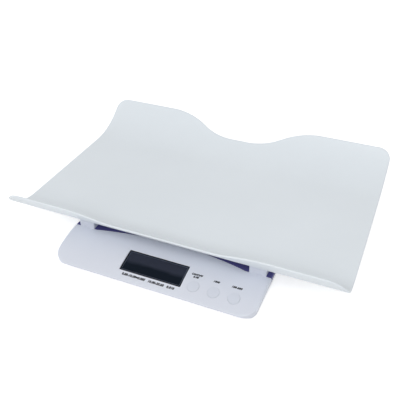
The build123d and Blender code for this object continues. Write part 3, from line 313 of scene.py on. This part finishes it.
def battery_sleeve():
    """Two-tone battery sleeve, bare of print, with plated end caps."""
    material, tree, shader = new_material("battery_sleeve")
    place = add(tree, "ShaderNodeTexCoord")
    facing = add(tree, "ShaderNodeSeparateXYZ")
    tree.links.new(place.outputs["Normal"], facing.inputs[0])
    end = step_over(tree, maths(tree, "ABSOLUTE", facing.outputs["Y"]), SLEEVE_CAP_FACING,
                    SLEEVE_CAP_SOFTNESS)
    parts = add(tree, "ShaderNodeSeparateXYZ")
    tree.links.new(place.outputs["Object"], parts.inputs[0])
    low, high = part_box("batteries")
    offset = maths(tree, "SUBTRACT", parts.outputs["Y"], (low.y + high.y) / 2)
    band = step_over(tree, maths(tree, "ABSOLUTE", offset), SLEEVE_BAND_START, SLEEVE_BAND_SOFTNESS)
    sleeve = mixed_colour(tree, band, linear(SLEEVE_LOW), linear(SLEEVE_HIGH))
    tree.links.new(mixed_colour(tree, end, sleeve, linear(SLEEVE_CAP)), shader.inputs["Base Color"])
    tree.links.new(end, shader.inputs["Metallic"])
    gloss = noise(tree, SLEEVE_GLOSS_SCALE)
    tree.links.new(ranged(tree, gloss.outputs["Fac"], *SLEEVE_GLOSS), shader.inputs["Roughness"])
    return material


# ---------------------------------------------------------------- materials by record slot
MATERIALS = {
    "tray_plastic": moulded("tray_plastic", TRAY_WHITE, 0.40),
    "runner_plastic": moulded("runner_plastic", RUNNER_WHITE, 0.45),
    "housing_plastic": moulded("housing_plastic", PANEL_WHITE, 0.36),
    "lid_plastic": moulded("lid_plastic", LID_VIOLET, 0.45, mottle=0.03),
    "key_plastic": moulded("key_plastic", KEY_WHITE, 0.42),
    "door_plastic": moulded("door_plastic", DOOR_WHITE, 0.40),
    "window_acrylic": smoked_window(),
    "lcd_glass": moulded("lcd_glass", (0.12, 0.14, 0.15), 0.15),
    "strip_rubber": rubber("strip_rubber", (0.35, 0.35, 0.37)),
    "board_laminate": moulded("board_laminate", (0.06, 0.32, 0.16), 0.35, mottle=0.05),
    "chip_resin": moulded("chip_resin", (0.06, 0.06, 0.07), 0.5),
    "switch_plastic": moulded("switch_plastic", (0.09, 0.09, 0.10), 0.4),
    "plunger_plastic": moulded("plunger_plastic", (0.55, 0.12, 0.10), 0.4),
    "feet_rubber": rubber("feet_rubber", (0.14, 0.14, 0.15)),
    "screw_steel": metal("screw_steel", (0.72, 0.73, 0.75), 0.32),
    "plate_steel": metal("plate_steel", (0.70, 0.71, 0.73), 0.38),
    "contact_steel": metal("contact_steel", (0.80, 0.80, 0.77), 0.28),
    "cell_aluminium": metal("cell_aluminium", (0.82, 0.83, 0.84), 0.35),
    "gauge_potting": rubber("gauge_potting", (0.86, 0.86, 0.83)),
    "battery_wrap": battery_sleeve(),
    "lead_sleeve": rubber("lead_sleeve", (0.24, 0.24, 0.26)),
    "socket_nylon": moulded("socket_nylon", (0.86, 0.84, 0.78), 0.5),
}
INK = moulded("panel_ink", INK_BLACK, 0.55, mottle=0.05, specular=INK_SPECULAR)
LINE = moulded("display_line", WINDOW_LINE, 0.40, mottle=0.05)


def dress_nodes():
    """Gives every carried-over CAD node the material of its slot."""
    for entry in frame["record"]["subparts"]:
        part = nodes[entry["node"]]
        part.data.materials.clear()
        part.data.materials.append(MATERIALS[entry["material_slot"]])


def placed(name, mesh, material, body):
    """New piece from a mesh, with one material, that rides on a body."""
    mesh.materials.append(material)
    piece = bpy.data.objects.new(name, mesh)
    bpy.context.scene.collection.objects.link(piece)
    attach(piece, body)
    return piece


# ---------------------------------------------------------------- cradle sheet
def corner_cut(x, half, radius):
    """How far a rounded corner holds the edge back at a distance x from the middle."""
    into = max(0.0, abs(x) - (half - radius))
    return radius - math.sqrt(max(0.0, radius ** 2 - into ** 2))


def dip_cut(x, dip):
    """How far the edge dips at x from the middle: flat, then a valley arc and a flank arc."""
    width, flat, depth, valley = dip
    run = (width - flat) / 2
    flank = (run ** 2 + depth ** 2) / (2 * depth) - valley
    into = max(0.0, abs(x) - flat / 2)
    if into < run * valley / (valley + flank):
        return depth - valley + math.sqrt(valley ** 2 - into ** 2)
    return flank - math.sqrt(flank ** 2 - max(0.0, run - into) ** 2)


def edge_reach(x, half, radius, angle, corner, dip):
    """Length of the sheet along its curve, from the floor to its trimmed edge."""
    full = math.radians(angle)
    lean = full - dip[2] / 2 / radius
    held = corner_cut(x, half, corner) + dip_cut(x, dip)
    return radius * (lean + math.asin(math.sin(full - lean) - held / radius))


def edge_columns(half, corner):
    """Places across the tray where its outline gets a point, from left to right."""
    straight = half - corner
    count = round(straight / EDGE_STEP)
    right = [straight * i / count for i in range(count)]
    turns = [math.radians(90 * i / CORNER_STEPS) for i in range(CORNER_STEPS + 1)]
    right += [straight + corner * math.sin(turn) for turn in turns]
    return [-x for x in reversed(right[1:])] + right


def flat_outline(half):
    """Closed outline of the sheet laid flat: across, and along from the floor's front edge."""
    front = [(x, -edge_reach(x, half, LIP_RADIUS, LIP_ANGLE, LIP_CORNER_RADIUS, LIP_DIP))
             for x in edge_columns(half, LIP_CORNER_RADIUS)]
    back = [(x, edge_reach(x, half, BACK_RADIUS, BACK_ANGLE, BACK_CORNER_RADIUS, BACK_DIP))
            for x in edge_columns(half, BACK_CORNER_RADIUS)]
    return front + [(x, TRAY_FLOOR_DEPTH + reach) for x, reach in reversed(back)]


def inset(outline, distance):
    """The outline moved inwards by a distance, point by point."""
    moved = []
    for i, point in enumerate(outline):
        here = Vector(point)
        before = (here - Vector(outline[i - 1])).normalized()
        after = (Vector(outline[(i + 1) % len(outline)]) - here).normalized()
        along = (before + after).normalized()
        moved.append(here + Vector((-along.y, along.x)) * distance)
    return moved


def flat_sheet(half):
    """The sheet laid flat, its upper face at 0, with a fully rounded rim."""
    form = bmesh.new()
    outline = flat_outline(half)
    round_radius = TRAY_SHEET / 2
    rings = [(round_radius + RIM_GUARD, -TRAY_SHEET)]
    for i in range(RIM_STEPS + 1):
        turn = math.radians(180 * i / RIM_STEPS - 90)
        rings.append((round_radius * (1 - math.cos(turn)), round_radius * (math.sin(turn) - 1)))
    rings.append((round_radius + RIM_GUARD, 0.0))
    loops = [[form.verts.new((*point, lift)) for point in inset(outline, distance)]
             for distance, lift in rings]
    for lower, upper in zip(loops, loops[1:]):
        for i in range(len(outline)):
            form.faces.new((lower[i - 1], lower[i], upper[i], upper[i - 1]))
    form.faces.new(loops[0][::-1])
    form.faces.new(loops[-1])
    return form


def cut(form, place, normal):
    """Cuts every face of a form along a plane, and keeps both sides."""
    geometry = form.verts[:] + form.edges[:] + form.faces[:]
    bmesh.ops.bisect_plane(form, geom=geometry, plane_co=place, plane_no=normal)


def bent(point, front_y, floor_z):
    """Place on the curved sheet of a point given on the flat one."""
    x, along, lift = point
    if along < 0:
        centre_z = floor_z + LIP_RADIUS
        radius = LIP_RADIUS - lift
        turn = along / LIP_RADIUS
        return (x, front_y + radius * math.sin(turn), centre_z - radius * math.cos(turn))
    if along > TRAY_FLOOR_DEPTH:
        rear_y = front_y + TRAY_FLOOR_DEPTH
        centre_z = floor_z + BACK_RADIUS
        radius = BACK_RADIUS - lift
        turn = (along - TRAY_FLOOR_DEPTH) / BACK_RADIUS
        return (x, rear_y + radius * math.sin(turn), centre_z - radius * math.cos(turn))
    return (x, front_y + along, floor_z + lift)


def make_tray_skin():
    """The cradle sheet, cut where it bends and then bent. It stands for the plainer solid."""
    low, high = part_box("tray_shell")
    front_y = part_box("tray_runner_left")[0].y + TRAY_FLOOR_SETBACK
    floor_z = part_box("platform_lid")[1].z + TRAY_RISE
    half = (high.x - low.x) / 2
    form = flat_sheet(half)
    for i in range(int(LIP_ANGLE / BEND_STEP) + 1):
        cut(form, (0, -LIP_RADIUS * math.radians(BEND_STEP * i), 0), (0, 1, 0))
    for i in range(int(BACK_ANGLE / BEND_STEP) + 1):
        cut(form, (0, TRAY_FLOOR_DEPTH + BACK_RADIUS * math.radians(BEND_STEP * i), 0), (0, 1, 0))
    columns = int(half / CROSS_CUTS)
    for i in range(-columns, columns):
        cut(form, (CROSS_CUTS * (i + 0.5), 0, 0), (1, 0, 0))
    bmesh.ops.remove_doubles(form, verts=form.verts, dist=MERGE_DISTANCE)
    for vertex in form.verts:
        vertex.co = bent(vertex.co, front_y, floor_z)
    for face in form.faces:
        face.smooth = True
    mesh = bpy.data.meshes.new("tray_skin")
    form.to_mesh(mesh)
    form.free()
    skin = placed("tray_skin", mesh, MATERIALS["tray_plastic"], "tray")
    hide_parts("tray_shell")


# ---------------------------------------------------------------- print and display
def on_crown(point, crest):
    """Place on the panel's crowned top of a flat point, the crest being its rear edge."""
    x, y, lift = point
    fall = CROWN_RADIUS - math.sqrt(CROWN_RADIUS ** 2 - (y - crest.y) ** 2)
    return (x, y, crest.z - fall + lift)


def printed(name, text, x, y, size):
    """A line of ink on the crowned panel, its middle over a point."""
    curve = bpy.data.curves.new(name, "FONT")
    curve.body = text
    curve.size = size
    curve.resolution_u = INK_CURVE_STEPS
    curve.align_x = "CENTER"
    curve.align_y = "CENTER"
    curve.offset = size * INK_SPREAD
    curve.shear = INK_SLANT
    curve.space_character = INK_SPACING
    curve.extrude = INK_THICKNESS
    outline = bpy.data.objects.new(name + "_outline", curve)
    bpy.context.scene.collection.objects.link(outline)
    shown = outline.evaluated_get(bpy.context.evaluated_depsgraph_get())
    mesh = bpy.data.meshes.new_from_object(shown)
    bpy.data.objects.remove(outline)
    mesh.materials.clear()
    crest = Vector((0.0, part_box("tray_runner_left")[0].y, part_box("platform_lid")[1].z))
    for vertex in mesh.vertices:
        vertex.co = on_crown(vertex.co + Vector((x, y, 0.0)), crest)
    placed(name, mesh, INK, "base")


def make_print():
    """Generic marks: plain numbers, and ON/OFF on the first key."""
    for key, lines in KEY_LABELS.items():
        low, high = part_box(key)
        x = (low.x + high.x) / 2
        y = (low.y + high.y) / 2 + KEY_LABEL_RISE
        for i, text in enumerate(lines):
            fall = (i - (len(lines) - 1) / 2) * KEY_LABEL_PITCH
            printed(f"{key}_label_{i + 1}", text, x + KEY_LABEL_SHIFT, y - fall, KEY_LABEL_SIZE)
    low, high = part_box("display_window")
    middle = (low + high) / 2
    printed("range_print", RANGE_TEXT, middle.x, middle.y - RANGE_DROP, RANGE_SIZE)


def make_display_line():
    """Thin light line just inside the window's black border."""
    low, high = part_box("display_window")
    tilt = math.radians(DISPLAY_TILT)
    up = Vector((0, -math.sin(tilt), math.cos(tilt)))
    along = Vector((0, math.cos(tilt), math.sin(tilt)))
    middle = (low + high) / 2 + up * (DISPLAY_SHEET / 2 + INK_THICKNESS)
    form = bmesh.new()
    loops = []
    for shift in (0.0, DISPLAY_LINE_WIDTH):
        half_width, half_depth = (size / 2 - DISPLAY_LINE_INSET - shift for size in DISPLAY_SIZE)
        corners = [middle + Vector((side * half_width, 0, 0)) + along * end * half_depth
                   for side, end in ((-1, -1), (1, -1), (1, 1), (-1, 1))]
        loops.append([form.verts.new(corner) for corner in corners])
    outer, inner = loops
    for i in range(4):
        form.faces.new((outer[i - 1], outer[i], inner[i], inner[i - 1]))
    bmesh.ops.solidify(form, geom=form.faces[:], thickness=-INK_THICKNESS)
    mesh = bpy.data.meshes.new("display_line")
    form.to_mesh(mesh)
    form.free()
    placed("display_line", mesh, LINE, "base")


# ---------------------------------------------------------------- stage, light and camera
def seen_rays(tree):
    """1 for camera, glossy and transmission rays, and 0 for the rest."""
    path = add(tree, "ShaderNodeLightPath")
    either = maths(tree, "MAXIMUM", path.outputs["Is Camera Ray"], path.outputs["Is Glossy Ray"])
    return maths(tree, "MAXIMUM", either, path.outputs["Is Transmission Ray"])


def make_floor():
    """White floor that keeps the object's soft shadow."""
    mesh = bpy.data.meshes.new("studio_floor")
    form = bmesh.new()
    bmesh.ops.create_grid(form, x_segments=1, y_segments=1, size=FLOOR_SIZE / 2)
    form.to_mesh(mesh)
    form.free()
    material, tree, shader = new_material("studio_floor")
    drift = noise(tree, STAGE_DRIFT_SCALE)
    low, high = linear(FLOOR_WHITE), linear(shaded(FLOOR_WHITE, STAGE_MOTTLE))
    tree.links.new(mixed_colour(tree, drift.outputs["Fac"], low, high), shader.inputs["Base Color"])
    shader.inputs["Roughness"].default_value = STAGE_ROUGHNESS
    shader.inputs["Specular IOR Level"].default_value = 0.0
    glow = add(tree, "ShaderNodeEmission")
    glow.inputs["Color"].default_value = (1.0, 1.0, 1.0, 1.0)
    tree.links.new(ranged(tree, seen_rays(tree), 0.0, FLOOR_GLOW), glow.inputs["Strength"])
    total = add(tree, "ShaderNodeAddShader")
    tree.links.new(shader.outputs["BSDF"], total.inputs[0])
    tree.links.new(glow.outputs["Emission"], total.inputs[1])
    tree.links.new(total.outputs["Shader"], tree.nodes["Material Output"].inputs["Surface"])
    mesh.materials.append(material)
    floor = bpy.data.objects.new("studio_floor", mesh)
    bpy.context.scene.collection.objects.link(floor)


def make_world():
    """White surroundings for what is seen or mirrored, and a plain fill light."""
    world = bpy.data.worlds.new("studio")
    world.use_nodes = True
    bpy.context.scene.world = world
    tree = world.node_tree
    background = tree.nodes["Background"]
    background.inputs["Color"].default_value = (1.0, 1.0, 1.0, 1.0)
    tree.links.new(ranged(tree, seen_rays(tree), FILL_LIGHT, 1.0), background.inputs["Strength"])


def make_lamps():
    """Soft square lamps that look at the origin."""
    for name, place, size, watts in LAMPS:
        data = bpy.data.lights.new(name, "AREA")
        data.size = size
        data.energy = watts
        lamp = bpy.data.objects.new(name, data)
        lamp.location = place
        lamp.rotation_euler = (-Vector(place)).to_track_quat("-Z", "Y").to_euler()
        bpy.context.scene.collection.objects.link(lamp)


def make_camera():
    """Camera at the viewing angle of the photograph."""
    data = bpy.data.cameras.new("camera")
    data.lens = CAMERA_LENS_MM
    data.sensor_width = CAMERA_SENSOR_MM
    data.clip_end = CAMERA_REACH
    camera = bpy.data.objects.new("camera", data)
    turn = (Matrix.Rotation(math.radians(CAMERA_AZIMUTH), 4, "Z")
            @ Matrix.Rotation(math.radians(90 - CAMERA_ELEVATION), 4, "X")
            @ Matrix.Rotation(math.radians(CAMERA_ROLL), 4, "Z"))
    camera.matrix_world = Matrix.Translation(CAMERA_PLACE) @ turn
    bpy.context.scene.collection.objects.link(camera)
    bpy.context.scene.camera = camera


dress_nodes()
make_tray_skin()
make_print()
make_display_line()
make_floor()
make_world()
make_lamps()
make_camera()
bpy.context.scene.view_settings.view_transform = "Standard"
